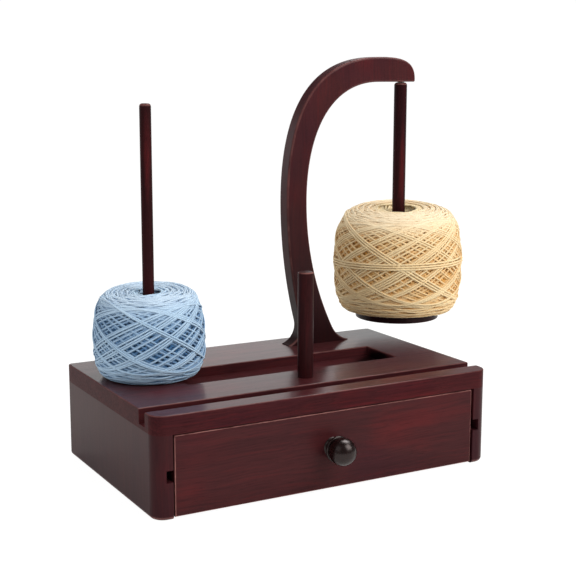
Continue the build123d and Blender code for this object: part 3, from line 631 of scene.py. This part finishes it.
def make_winding_tree():
    """A Geometry Nodes tree that lays one long strand on a cake, loop after loop, as a round yarn."""
    tree = bpy.data.node_groups.new("Wound Strand", "GeometryNodeTree")
    sockets = [("Geometry", "Geometry"), ("Profile", "Object"), ("Yarn", "Material"), ("Centre", "Vector")]
    for name, kind in sockets + [(label, "Float") for label in WINDING_NUMBERS]:
        tree.interface.new_socket(name, in_out="INPUT", socket_type="NodeSocket" + kind)
    tree.interface.new_socket("Geometry", in_out="OUTPUT", socket_type="NodeSocketGeometry")
    bench = Bench(tree)
    given = bench.add("NodeGroupInput").outputs
    m, times, over, plus, minus = bench.math, bench.times, bench.over, bench.plus, bench.minus
    high_last, low_last = given["High Turn Last"], given["Low Turn Last"]

    # one point after another along the strand, counted in loops
    count = times(given["Loops"], LOOP_POINTS)
    line = bench.add("GeometryNodeMeshLine", {"Count": plus(count, 1.0), "Offset": (0.0, 0.0, 0.001)})
    done = over(bench.add("GeometryNodeInputIndex").outputs[0], LOOP_POINTS)
    left_over = minus(given["Loops"], done)
    loop = plus(given["First Loop"], done)
    age = over(loop, given["Loops in All"], clamp=True)
    young = minus(1.0, age)

    def wander(speed, shift):
        """A slow random swing from -1 to 1 along the strand."""
        w = plus(times(loop, speed), plus(given["Seed"], shift))
        swing = bench.add("ShaderNodeTexNoise", {"W": w, "Scale": 1.0, "Detail": 1.0}, noise_dimensions="1D")
        return times(minus(swing.outputs[0], 0.5), 3.0)

    # where the loops turn back: near the mouth and the core at first, at the shoulders in the end
    curl = times(young, young)
    reach = times(wander(0.9, 31.0), given["Reach Wander"])
    high_span = minus(given["High Turn First"], high_last)
    low_span = minus(low_last, given["Low Turn First"])
    high = plus(m("MULTIPLY_ADD", curl, high_span, high_last), reach)
    low = plus(minus(low_last, times(curl, low_span)), reach)

    # each loop is a tilted ring, flattened where it turns back
    angle = times(loop, math.tau)
    drift = times(over(loop, given["Loops per Pass"]), math.tau)
    phase = plus(plus(given["Phase"], drift), times(wander(0.35, 0.0), given["Wander"]))
    tilt = minus(angle, phase)
    flat = times(young, FLATTENING)
    ring = m("MULTIPLY_ADD", m("SINE", times(tilt, 3.0)), flat, m("SINE", tilt))
    ring = over(ring, minus(1.0, flat))
    middle = times(plus(high, low), 0.5)
    half = times(minus(high, low), 0.5)
    run = m("MULTIPLY_ADD", ring, half, middle)
    run = m("MULTIPLY_ADD", given["Climb"], done, run)
    run = m("MULTIPLY_ADD", wander(3.1, 83.0), given["Ripple"], run)

    # later loops cover it, except where they turn back short of it
    past_high = over(minus(run, high_last), m("MAXIMUM", high_span, 1e-6), clamp=True)
    past_low = over(minus(low_last, run), m("MAXIMUM", low_span, 1e-6), clamp=True)
    past = m("MAXIMUM", past_high, past_low)
    cover = m("MAXIMUM", minus(minus(1.0, m("SQRT", past)), age), 0.0)
    relief = m("MULTIPLY_ADD", times(past, 12.0, clamp=True), given["Relief"], 1.0)
    sink = times(times(times(cover, given["Loops in All"]), given["Rise"]), relief)
    sink = m("MINIMUM", sink, given["Deepest"])
    start_tuck = minus(1.0, over(done, TUCK_LOOPS), clamp=True)
    end_tuck = minus(1.0, over(left_over, TUCK_LOOPS), clamp=True)
    tuck = times(plus(start_tuck, end_tuck), TUCK_DEPTH)
    out = minus(minus(given["Lift"], sink), tuck)
    out = m("MULTIPLY_ADD", wander(0.8, 113.0), given["Ripple"], out)

    # onto the cake, and swollen to a closed yarn
    laid, outward = onto_cake(bench, given, line.outputs[0], angle, run, out, sink)
    begun = times(done, LOOP_POINTS, clamp=True)
    ending = times(left_over, LOOP_POINTS, clamp=True)
    full = m("MULTIPLY_ADD", wander(7.0, 57.0), UNEVENNESS, 1.0)
    tube = swell_to_tube(bench, laid, times(full, times(begun, ending)), times(given["Strand"], 0.5))
    normal = bench.add("GeometryNodeInputNormal").outputs[0]
    # crest: how far the tube faces out of the cake, from which the finish paints shade on each strand's sides
    tube = store(bench, tube, "crest", bench.vector("DOT_PRODUCT", normal, outward))
    smooth = bench.add("GeometryNodeSetShadeSmooth", {0: tube})
    real = bench.add("GeometryNodeRealizeInstances", {0: smooth.outputs[0]})
    dyed = bench.add("GeometryNodeSetMaterial", {"Geometry": real.outputs[0], "Material": given["Yarn"]})
    bench.feed(bench.add("NodeGroupOutput").inputs[0], dyed.outputs[0])
    return tree


def outline_curve(name, points):
    """The outline as a plain curve in the XZ plane, for the tree to sample."""
    data = bpy.data.curves.new(name, "CURVE")
    data.dimensions = "3D"
    spline = data.splines.new("POLY")
    spline.points.add(len(points) - 1)
    for held, (x, z) in zip(spline.points, points):
        held.co = (x, 0.0, z, 1.0)
    return add_object(name, data)


def wind(name, tree, **inputs):
    """Run the winding tree and keep its result as a plain mesh."""
    carrier = add_object(name + "_carrier", bpy.data.meshes.new(name + "_carrier"))
    modifier = carrier.modifiers.new("Winding", "NODES")
    modifier.node_group = tree
    for item in tree.interface.items_tree:
        if item.in_out == "INPUT" and item.name != "Geometry":
            modifier[item.identifier] = inputs.get(item.name.lower().replace(" ", "_"), 0.0)
    graph = bpy.context.evaluated_depsgraph_get()
    wound = carrier.evaluated_get(graph)
    mesh = bpy.data.meshes.new_from_object(wound, preserve_all_data_layers=True, depsgraph=graph)
    mesh.name = name
    old = carrier.data
    bpy.data.objects.remove(carrier)
    bpy.data.meshes.remove(old)
    if not mesh.polygons:
        raise RuntimeError(f"the winding tree made nothing for {name}")
    return add_object(name, mesh)


def turned_heart(name, outline, shape, centre, finish, segments=96):
    """The body of older yarn under the visible loops: the outline, drawn in by an inset and turned."""
    core, inset = shape["sleeve"], shape["heart_depth"]
    low, high = shape["lean_from"], shape["height"]
    ring = []
    for i, (x, z) in enumerate(outline):
        before, after = outline[max(i - 1, 0)], outline[min(i + 1, len(outline) - 1)]
        run = math.hypot(after[0] - before[0], after[1] - before[1])
        out, up = (after[1] - before[1]) / run, (before[0] - after[0]) / run
        depth = inset * (1.0 - 0.6 * max(up, 0.0) ** 2)
        ring.append((x - depth * out, z - depth * up))
    ring = [(core, ring[0][1])] + ring
    ring[-1] = (core, ring[-1][1])
    body = bmesh.new()
    rows = []
    for s in range(segments):
        turn = math.tau * s / segments
        spot = Vector((math.cos(turn), math.sin(turn), 0.0))
        dip = shape["lean"] * math.cos(turn - shape["lean_turn"])
        row = []
        for x, z in ring:
            leaning = min(max((z - low) / (high - low), 0.0), 1.0)
            row.append(body.verts.new(spot * x + Vector((0, 0, z - dip * x * leaning)) + centre))
        rows.append(row)
    for s in range(segments):
        one, two = rows[s], rows[(s + 1) % segments]
        for i in range(len(ring)):
            j = (i + 1) % len(ring)
            body.faces.new((one[i], two[i], two[j], one[j]))
    bmesh.ops.remove_doubles(body, verts=body.verts, dist=1e-6)
    bmesh.ops.recalc_face_normals(body, faces=body.faces)
    for face in body.faces:
        face.smooth = True
    mesh = bpy.data.meshes.new(name)
    body.to_mesh(mesh)
    body.free()
    mesh.materials.append(finish)
    return add_object(name, mesh)


def new_yarn(name, light):
    """A plain yarn finish with its sheen in the yarn's own colour."""
    return new_finish(name, Sheen_Tint=[0.15 + 0.85 * c for c in light], **PLAIN_YARN)


def from_axis(bench, place, centre):
    """How far a point lies from a cake's axis."""
    away = bench.vector("SUBTRACT", place, tuple(centre))
    return bench.vector("LENGTH", bench.vector("MULTIPLY", away, (1.0, 1.0, 0.0)))


def yarn_finish(name, light, deep, strand, centre, mouth):
    """Plied cotton: paler outside and in the mouth, deeper below, with the lay of its plies."""
    finish, bench, surface = new_yarn(name, light)
    place = bench.place()
    depth, upward, crest = (bench.attribute(key) for key in ("depth", "upward", "crest"))
    ply = use_group(bench, ply_twist, {"Plies": 4.0, "Pitch": strand * 3.2})
    # painted shade: strands that lie below others take the deep colour
    tone = bench.blend(depth, light, deep)
    # painted light: what faces up is paler
    tone = bench.blend(bench.ramp(upward, 0.2, 0.9, 0.0, 0.5), tone, [0.55 + 0.45 * c for c in light])
    tone = bench.blend(bench.ramp(bench.noise(place, 60.0, 2.0), 0.35, 0.75, 0.0, 0.15), tone, deep)
    # painted shade in the furrows between the plies
    furrow_shade = bench.times(bench.minus(1.0, ply["Ridge"]), 0.12)
    tone = bench.blend(furrow_shade, tone, [c * 0.8 for c in deep])
    # painted shade on each strand's sides, less where it faces up
    side = bench.times(bench.ramp(crest, 0.98, 0.25), bench.ramp(upward, 0.2, 0.9, 0.7, 0.16))
    tone = bench.blend(side, tone, [c * 0.75 for c in deep])
    # painted light in the mouth, where the yarn lies in shade
    lit_mouth = bench.ramp(from_axis(bench, place, centre), mouth, mouth * 1.3, 0.8, 0.0)
    bench.feed(surface["Base Color"], bench.blend(lit_mouth, tone, light))
    height = bench.math("MULTIPLY_ADD", bench.noise(place, 4200.0, 2.0), 0.35, ply["Ridge"])
    bench.feed(surface["Normal"], bench.bump(height, 0.6, 0.0003))
    return finish


def heart_finish(name, light, deep, centre, radius, strand):
    """Crossing turns of buried yarn, seen only through the gaps."""
    finish, bench, surface = new_yarn(name, light)
    place = bench.place()
    x, y, z = bench.split(bench.vector("SUBTRACT", place, tuple(centre)))
    around = bench.times(bench.math("ARCTAN2", y, x), radius)
    rise = bench.times(z, 1.6)
    turns = math.tau * round(math.tau * radius / (strand * 1.9)) / (math.tau * radius)
    ways = (bench.times(bench.math(way, around, rise), turns) for way in ("ADD", "SUBTRACT"))
    lattice = bench.math("MAXIMUM", *(bench.math("SINE", way) for way in ways))
    # painted shade: the buried turns are darker than the yarn, darker still between them
    tone = bench.blend(bench.ramp(lattice, -0.2, 1.0), [c * 0.45 for c in deep], [c * 0.8 for c in deep])
    # painted light: what faces up is paler
    upward = bench.split(bench.add("ShaderNodeNewGeometry").outputs["Normal"])["Z"]
    tone = bench.blend(bench.ramp(upward, 0.3, 0.95, 0.0, 0.75), tone, light)
    # painted light near the axis, in the mouth
    lit_core = bench.ramp(from_axis(bench, place, centre), radius * 0.3, radius * 0.5, 1.0, 0.0)
    bench.feed(surface["Base Color"], bench.blend(lit_core, tone, light))
    bench.feed(surface["Normal"], bench.bump(lattice, 0.8, strand / 2))
    return finish


# what shapes a cake, in metres, shares and radians: (cream, blue)
CAKE_SHAPES = {
    "radius": (0.0606, 0.046),
    "height": (0.0958, 0.0704),
    "belly": (0.043, 0.0295),
    "base_inset": (0.0129, 0.0118),
    "base_fullness": (0.65, 0.65),
    "top_inset": (0.03, 0.0144),
    "top_fullness": (0.76, 0.62),
    "core": (0.01, 0.007),
    "mouth": (0.02, 0.012),
    "mouth_depth": (0.009, 0.0085),
    "mouth_fullness": (0.35, 0.5),
    "seat": (0.0403, 0.025),
    "sag": (0.0018, 0.0),
    "lean": (0.11, 0.08),
    "lean_turn": (math.radians(236), math.radians(236)),
    "lean_from": (0.045, 0.035),
    "sleeve": (0.0066, 0.0057),
    "heart_depth": (0.005, 0.0046),
}
CREAM_SHAPE, BLUE_SHAPE = ({key: pair[which] for key, pair in CAKE_SHAPES.items()} for which in (0, 1))


def cake_centre(node):
    """The middle of a cake's foot."""
    low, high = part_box(node)
    return Vector(((low[0] + high[0]) / 2, (low[1] + high[1]) / 2, low[2]))


def build_cake(kind, node, body, slot, shape, sizes, bundles, belt=None, seed=0.0):
    """Wind one cake: its heart, the loops of all passes, the last bundles and, on one cake, a belt."""
    tree = bpy.data.node_groups.get("Wound Strand") or make_winding_tree()
    centre = cake_centre(node)
    light, deep = list(sizes.light), list(sizes.deep)
    outline = cake_outline(shape, shape["core"] + 0.012)
    profile = outline_curve(f"{kind}_outline", outline)
    mouth_floor = shape["height"] - shape["mouth_depth"] * FIRST_LOOPS_DOWN
    top_first = run_to(outline, lambda r, z: r < shape["mouth"] and z <= mouth_floor)
    high_last = run_to(outline, lambda r, z: z >= sizes.high_turn)
    low_last = run_to(outline, lambda r, z: z >= sizes.low_turn)
    shared = dict(
        profile=profile,
        yarn=yarn_finish(f"{kind.title()} Yarn", light, deep, sizes.strand, centre, shape["mouth"]),
        centre=centre,
        strand=sizes.strand,
        seed=seed,
        rise=sizes.rise,
        loops_in_all=float(sizes.loops),
        relief=2.0,
        deepest=0.007,
        lean=shape["lean"],
        lean_turn=shape["lean_turn"],
        lean_from=shape["lean_from"],
        lean_to=shape["height"],
    )
    heart = heart_finish(f"{kind.title()} Heart", light, deep, centre, shape["radius"], sizes.strand)
    pieces = [turned_heart(f"{kind}_heart", outline, shape, centre, heart)]

    def lay(part, high, low, **inputs):
        """One more piece of strand; high, low: where its first and its last loops turn back."""
        names = "high_turn_first", "high_turn_last", "low_turn_first", "low_turn_last"
        ends = dict(zip(names, (*high, *low)))
        pieces.append(wind(f"{kind}_{part}", tree, **ends, **inputs, **shared))

    for part in range(LOOP_PARTS):
        lay(
            f"loops_{part + 1}",
            (top_first, high_last),
            (0.003, low_last),
            first_loop=float(sizes.loops * part // LOOP_PARTS),
            loops=float(sizes.loops // LOOP_PARTS),
            loops_per_pass=sizes.per_pass,
            lift=-sizes.strand / 2,
            wander=sizes.wander / shape["radius"],
            reach_wander=0.0022,
            ripple=0.0003,
        )
    for index, (phase, loops, high_shift) in enumerate(bundles):
        lay(
            f"bundle_{index + 1}",
            (high_last + high_shift, high_last + high_shift),
            (low_last, low_last),
            first_loop=float(sizes.loops),
            loops=float(loops),
            loops_per_pass=math.tau * shape["radius"] / (sizes.strand * 2.1),
            phase=math.radians(phase),
            lift=0.0003 - sizes.strand / 2 + 0.0002 * (index % 3),
            wander=0.0004 / shape["radius"],
            reach_wander=0.0006,
            ripple=0.0001,
        )
    if belt:
        height, loops, lean, phase = belt
        run = run_to(outline, lambda r, z: z >= height)
        lay(
            "belt",
            (run + lean, run + lean),
            (run - lean, run - lean),
            first_loop=float(sizes.loops),
            loops=float(loops),
            loops_per_pass=1e6,
            phase=math.radians(phase),
            climb=sizes.strand * 1.12,
            reach_wander=0.0004,
            ripple=0.0001,
        )
    bpy.data.objects.remove(profile)
    for piece in pieces:
        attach(piece, body)
        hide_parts(node)


# bundles: (angle in degrees where it climbs past the middle, loops side by side, extra run to its high turn)
CREAM_BUNDLES = [
    (43, 2, 0.003), (76, 4, 0.004), (235, 3, 0.002),
    (297, 2, 0.0), (110, 2, 0.003), (180, 2, 0.0),
    (10, 2, 0.004), (330, 3, 0.002), (145, 3, 0.0),
]
BLUE_BUNDLES = [
    (33, 3, 0.002), (135, 2, 0.006), (255, 2, 0.004), (69, 3, 0.003),
    (5, 2, 0.0), (180, 2, 0.003), (305, 3, 0.001),
]
# belt: (height, turns, half its slant, angle in degrees where it climbs)
CREAM_BELT = (0.0395, 3, 0.0014, 200)


class YARNBOX_OT_cream_cake(Operator):
    """Wind the cream cake that hangs under the arm"""

    bl_idname = "yarnbox.cream_cake"
    bl_label = "Cream Cake"

    def execute(self, context):
        names = "cream", "cream_yarn_cake", "pendulum", "cream_yarn"
        build_cake(*names, CREAM_SHAPE, context.scene.yarnbox_cream, CREAM_BUNDLES, CREAM_BELT, seed=3.0)
        return {"FINISHED"}


class YARNBOX_OT_blue_cake(Operator):
    """Wind the blue cake on the spindle"""

    bl_idname = "yarnbox.blue_cake"
    bl_label = "Blue Cake"

    def execute(self, context):
        names = "blue", "blue_yarn_cake", "blue_yarn", "blue_yarn"
        build_cake(*names, BLUE_SHAPE, context.scene.yarnbox_blue, BLUE_BUNDLES, seed=11.0)
        return {"FINISHED"}


# ---------------- studio
CAMERA_PLACE = (-0.481192, -0.981328, 0.329622)
CAMERA_TURN = (79.80933, -0.10479, -29.0151)
AIM = Vector((0.02, -0.09, 0.12))
WHITE = (1.0, 1.0, 1.0)
GLOW = 1.13  # what the floor gives out where it stands for the background
SEEN_SHARE, MIRRORED_SHARE = 0.84, 0.165
BACKGROUND_WHITE = 1.03
DIM, WALL_BRIGHT, PANEL_BRIGHT = 0.12, 1.35, 6.0
PANEL_WAY = (0.454, 0.287, 0.844)
LAMPS = {  # name: (place, side, colour)
    "Key": ((1.12, -1.62, 1.75), 1.7, (1.0, 0.98, 0.95)),
    "Top": ((0.85, 0.38, 1.9), 1.1, (1.0, 0.99, 0.97)),
    "Fill": ((-1.4, -0.5, 1.1), 1.2, WHITE),
}


def background_level(bench):
    """Where the background shows, and how bright it is.

    It is white to the camera and through glass; gloss mirrors a low white wall and a soft panel overhead.
    """
    rays = bench.add("ShaderNodeLightPath").outputs
    way = bench.add("ShaderNodeTexCoord").outputs["Generated"]
    _, y, z = bench.split(way)
    wall = bench.times(bench.ramp(y, -0.1, 0.5), bench.ramp(z, 0.22, 0.34, WALL_BRIGHT, DIM))
    panel = bench.ramp(bench.vector("DOT_PRODUCT", way, PANEL_WAY), 0.92, 0.985, DIM, PANEL_BRIGHT)
    gloss = bench.times(rays["Is Glossy Ray"], bench.math("MAXIMUM", wall, panel))
    seen = bench.math("MAXIMUM", rays["Is Camera Ray"], rays["Is Transmission Ray"])
    share = bench.math("MAXIMUM", seen, rays["Is Glossy Ray"])
    return share, bench.times(bench.math("MAXIMUM", seen, gloss), BACKGROUND_WHITE)


def floor_finish(ground):
    """Pale ground that keeps the object's shadow and meets the background without an edge."""
    finish, bench, surface = new_finish("Studio Floor", Roughness=0.9, Specular_IOR_Level=0.0)
    mottle = bench.ramp(bench.noise(bench.place(), 35.0, 3.0), 0.3, 0.7, 0.0, 0.06)
    bench.feed(surface["Base Color"], bench.blend(mottle, ground, [c * 0.9 for c in ground]))
    glow = bench.add("ShaderNodeEmission", {"Color": WHITE, "Strength": GLOW})
    rays = bench.add("ShaderNodeLightPath").outputs
    mirrored = bench.math("MAXIMUM", rays["Is Glossy Ray"], rays["Is Transmission Ray"])
    mirrored = bench.times(mirrored, MIRRORED_SHARE)
    share = bench.math("MAXIMUM", bench.times(rays["Is Camera Ray"], SEEN_SHARE), mirrored)
    nodes = finish.node_tree.nodes
    inputs = {0: share, 1: nodes["Principled BSDF"].outputs[0], 2: glow.outputs[0]}
    mixed = bench.add("ShaderNodeMixShader", inputs)
    bench.feed(nodes["Material Output"].inputs["Surface"], mixed.outputs[0])
    return finish


def soft_lamp(name, power):
    """A square studio lamp aimed at the object."""
    place, side, tint = LAMPS[name]
    data = bpy.data.lights.new(name, "AREA")
    data.size = side
    data.energy = power
    data.color = tint
    lamp = add_object(name, data)
    lamp.location = place
    lamp.rotation_euler = (AIM - Vector(place)).to_track_quat("-Z", "Y").to_euler()


class YARNBOX_OT_studio(Operator):
    """Set up the floor, the lamps, the background and the camera"""

    bl_idname = "yarnbox.studio"
    bl_label = "Studio"

    def execute(self, context):
        scene = context.scene
        choice = scene.yarnbox_studio
        sheet = bmesh.new()
        bmesh.ops.create_circle(sheet, cap_ends=True, segments=96, radius=5.0)
        mesh = bpy.data.meshes.new("studio_floor")
        sheet.to_mesh(mesh)
        sheet.free()
        mesh.materials.append(floor_finish(list(choice.ground)))
        floor = add_object("studio_floor", mesh)

        world = bpy.data.worlds.new("Studio")
        world.use_nodes = True
        world.node_tree.nodes.clear()
        scene.world = world
        bench = Bench(world.node_tree)
        around = bench.add("ShaderNodeBackground", {"Color": WHITE, "Strength": choice.sky})
        share, level = background_level(bench)
        white = bench.add("ShaderNodeBackground", {"Color": WHITE, "Strength": level})
        mixed = bench.add("ShaderNodeMixShader", {0: share, 1: around.outputs[0], 2: white.outputs[0]})
        bench.feed(bench.add("ShaderNodeOutputWorld").inputs["Surface"], mixed.outputs[0])

        for name in LAMPS:
            soft_lamp(name, getattr(choice, name.lower() + "_power"))

        eye = bpy.data.cameras.new("Camera")
        eye.sensor_width = 36.0
        eye.lens = choice.lens
        eye.clip_end = 50.0
        camera = add_object("Camera", eye)
        camera.location = CAMERA_PLACE
        camera.rotation_euler = [math.radians(a) for a in CAMERA_TURN]
        scene.camera = camera
        scene.view_settings.view_transform = "Standard"
        return {"FINISHED"}


# ---------------- panel and registration
SETTINGS = {
    "yarnbox_wood": YARNBOX_PG_wood,
    "yarnbox_metal": YARNBOX_PG_metal,
    "yarnbox_cream": YARNBOX_PG_cream,
    "yarnbox_blue": YARNBOX_PG_blue,
    "yarnbox_studio": YARNBOX_PG_studio,
}
OPERATORS = (
    YARNBOX_OT_timber,
    YARNBOX_OT_hardware,
    YARNBOX_OT_cream_cake,
    YARNBOX_OT_blue_cake,
    YARNBOX_OT_studio,
)


class YARNBOX_PT_sidebar(Panel):
    """Lists the makers and their settings"""

    bl_idname = "YARNBOX_PT_sidebar"
    bl_label = "Yarn Dispenser Box"
    bl_space_type = "VIEW_3D"
    bl_region_type = "UI"
    bl_category = "Yarn Box"

    def draw(self, context):
        for maker in OPERATORS:
            self.layout.operator(maker.bl_idname)
        for name, group in SETTINGS.items():
            box = self.layout.box()
            box.label(text=group.__doc__)
            for field in group.__annotations__:
                box.prop(getattr(context.scene, name), field)


def register():
    for group in (*SETTINGS.values(), *OPERATORS, YARNBOX_PT_sidebar):
        bpy.utils.register_class(group)
    for name, group in SETTINGS.items():
        setattr(bpy.types.Scene, name, PointerProperty(type=group))


def unregister():
    for name in SETTINGS:
        delattr(bpy.types.Scene, name)
    for group in reversed((*SETTINGS.values(), *OPERATORS, YARNBOX_PT_sidebar)):
        bpy.utils.unregister_class(group)


def main():
    register()
    bpy.ops.yarnbox.timber()
    bpy.ops.yarnbox.hardware()
    bpy.ops.yarnbox.cream_cake()
    bpy.ops.yarnbox.blue_cake()
    bpy.ops.yarnbox.studio()


if __name__ == "__main__":
    main()
